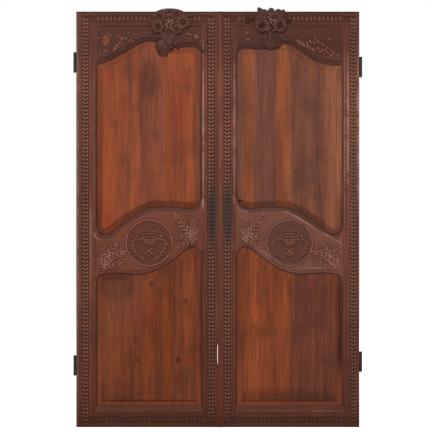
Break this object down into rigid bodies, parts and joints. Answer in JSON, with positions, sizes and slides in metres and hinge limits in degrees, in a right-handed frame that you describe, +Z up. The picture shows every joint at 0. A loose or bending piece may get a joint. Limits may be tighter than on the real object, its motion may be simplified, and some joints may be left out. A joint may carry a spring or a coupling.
{
  "type": "pair of cupboard doors",
  "caption": "Pair of tall carved wooden cupboard doors with shaped rails, raised panels, laurel bands, flower crests and lift-off iron hinges; each leaf swings open.",
  "frame": {"origin": "on the meeting line, in the middle of the frames' thickness, level with the bottom edges", "axes": "+X along the pair to the right as seen from the front, +Y from the carved front to the back, +Z up"},
  "size_m": [1.2982, 0.071, 1.8888],
  "materials": {
    "frame_wood": "waxed, dark red-brown",
    "panel_wood": "waxed, red-brown",
    "black_iron": "blackened, dull"
  },
  "bodies": {
    "cupboard_hinge_halves": {"left_upper_hinge_frame_leaf": "black_iron", "left_lower_hinge_frame_leaf": "black_iron", "right_upper_hinge_frame_leaf": "black_iron", "right_lower_hinge_frame_leaf": "black_iron"},
    "left_leaf": {"left_hinge_stile": "frame_wood", "left_meeting_stile": "frame_wood", "left_top_rail": "frame_wood", "left_middle_rail": "frame_wood", "left_bottom_rail": "frame_wood", "left_crest": "frame_wood", "left_joint_pegs": "frame_wood", "left_upper_panel": "panel_wood", "left_lower_panel": "panel_wood", "left_upper_hinge_leaf": "black_iron", "left_lower_hinge_leaf": "black_iron", "left_hinge_screws": "black_iron", "lock_keeper": "black_iron", "keeper_screws": "black_iron", "top_bolt_guide": "black_iron", "top_guide_screws": "black_iron", "bottom_bolt_guide": "black_iron", "bottom_guide_screws": "black_iron"},
    "right_leaf": {"right_hinge_stile": "frame_wood", "right_meeting_stile": "frame_wood", "right_top_rail": "frame_wood", "right_middle_rail": "frame_wood", "right_bottom_rail": "frame_wood", "right_crest": "frame_wood", "right_joint_pegs": "frame_wood", "right_upper_panel": "panel_wood", "right_lower_panel": "panel_wood", "right_upper_hinge_leaf": "black_iron", "right_lower_hinge_leaf": "black_iron", "right_hinge_screws": "black_iron", "lock_case": "black_iron", "lock_screws": "black_iron"},
    "lock_bolt": {"lock_bolt": "black_iron"},
    "top_slide_bolt": {"top_slide_bolt": "black_iron"},
    "bottom_slide_bolt": {"bottom_slide_bolt": "black_iron"}
  },
  "joints": [
    {"name": "left_door_swing", "type": "hinge", "parent": "cupboard_hinge_halves", "child": "left_leaf", "pos_m": [-0.6431, -0.021, 0], "axis": [0, 0, -1], "range_deg": [0, 150]},
    {"name": "right_door_swing", "type": "hinge", "parent": "cupboard_hinge_halves", "child": "right_leaf", "pos_m": [0.6431, -0.021, 0], "axis": [0, 0, 1], "range_deg": [0, 150]},
    {"name": "lock_bolt_throw", "type": "slide", "parent": "right_leaf", "child": "lock_bolt", "axis": [-1, 0, 0], "range_m": [0, 0.018]},
    {"name": "top_bolt_slide", "type": "slide", "parent": "left_leaf", "child": "top_slide_bolt", "axis": [0, 0, 1], "range_m": [0, 0.018]},
    {"name": "bottom_bolt_slide", "type": "slide", "parent": "left_leaf", "child": "bottom_slide_bolt", "axis": [0, 0, -1], "range_m": [0, 0.018]}
  ]
}
